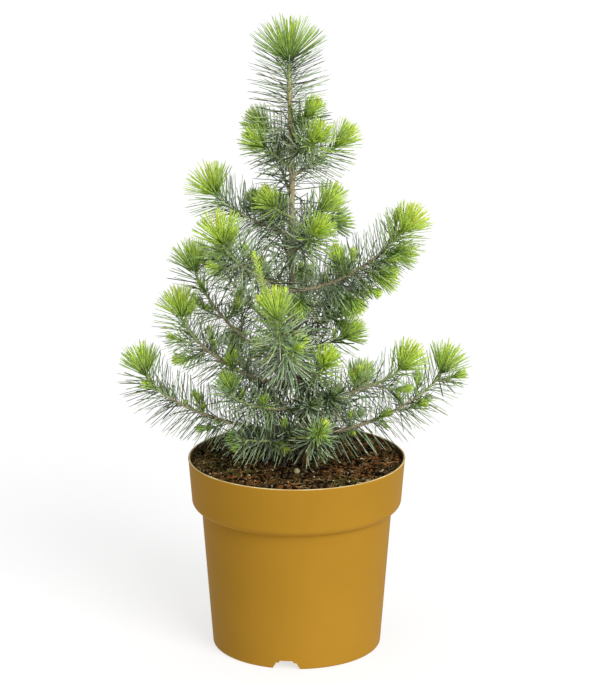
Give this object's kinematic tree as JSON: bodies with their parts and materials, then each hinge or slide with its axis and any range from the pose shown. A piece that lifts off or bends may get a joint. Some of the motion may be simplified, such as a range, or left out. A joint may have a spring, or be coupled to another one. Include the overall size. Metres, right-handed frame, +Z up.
{
  "type": "potted stone pine",
  "caption": "Young stone pine in a plastic grow pot: a slender leaning trunk with upturned boughs and whorls of short needles, free-standing on the pot's flat foot.",
  "frame": {"origin": "centre of the pot's flat underside", "axes": "+Z up along the pot's axis; -Y is the front that the picture shows; +X is to the right in it"},
  "size_m": [0.3082, 0.2456, 0.5534],
  "materials": {
    "pot": "satin moulded plastic, golden ochre",
    "soil": "moist potting mix with bark fibres",
    "bark": "thin young bark, grey-brown to green",
    "needles": "waxy blue-green needles with lime shoot tips"
  },
  "bodies": {
    "root": {"pot": "pot", "soil": "soil", "trunk": "bark", "bough_low_left": "bark", "bough_low_right": "bark", "bough_low_front": "bark", "bough_low_back_right": "bark", "bough_low_back_left": "bark", "bough_lower_front_left": "bark", "bough_lower_right": "bark", "bough_lower_front_right": "bark", "bough_lower_left": "bark", "bough_lower_back": "bark", "bough_middle_left": "bark", "bough_middle_right": "bark", "bough_middle_back_left": "bark", "bough_middle_front": "bark", "bough_middle_back_right": "bark", "bough_upper_front_left": "bark", "bough_upper_right": "bark", "bough_upper_back": "bark", "bough_upper_back_right": "bark", "bough_upper_left": "bark", "needles_low_left": "needles", "needles_low_right": "needles", "needles_low_front": "needles", "needles_low_back_right": "needles", "needles_low_back_left": "needles", "needles_lower_front_left": "needles", "needles_lower_right": "needles", "needles_lower_front_right": "needles", "needles_lower_left": "needles", "needles_lower_back": "needles", "needles_middle_left": "needles", "needles_middle_right": "needles", "needles_middle_back_left": "needles", "needles_middle_front": "needles", "needles_middle_back_right": "needles", "needles_upper_front_left": "needles", "needles_upper_right": "needles", "needles_upper_back": "needles", "needles_upper_back_right": "needles", "needles_upper_left": "needles", "needles_foot_front": "needles", "needles_high_front_right": "needles", "needles_high_back_left": "needles", "needles_high_right": "needles", "needles_high_front_left": "needles", "needles_high_back": "needles", "needles_top_right": "needles", "needles_top_left": "needles", "needles_top_back": "needles", "needles_top_front_right": "needles", "needles_top_back_left": "needles", "needles_peak_front_right": "needles", "needles_leader_tip": "needles", "needles_leader": "needles"}
  },
  "joints": []
}
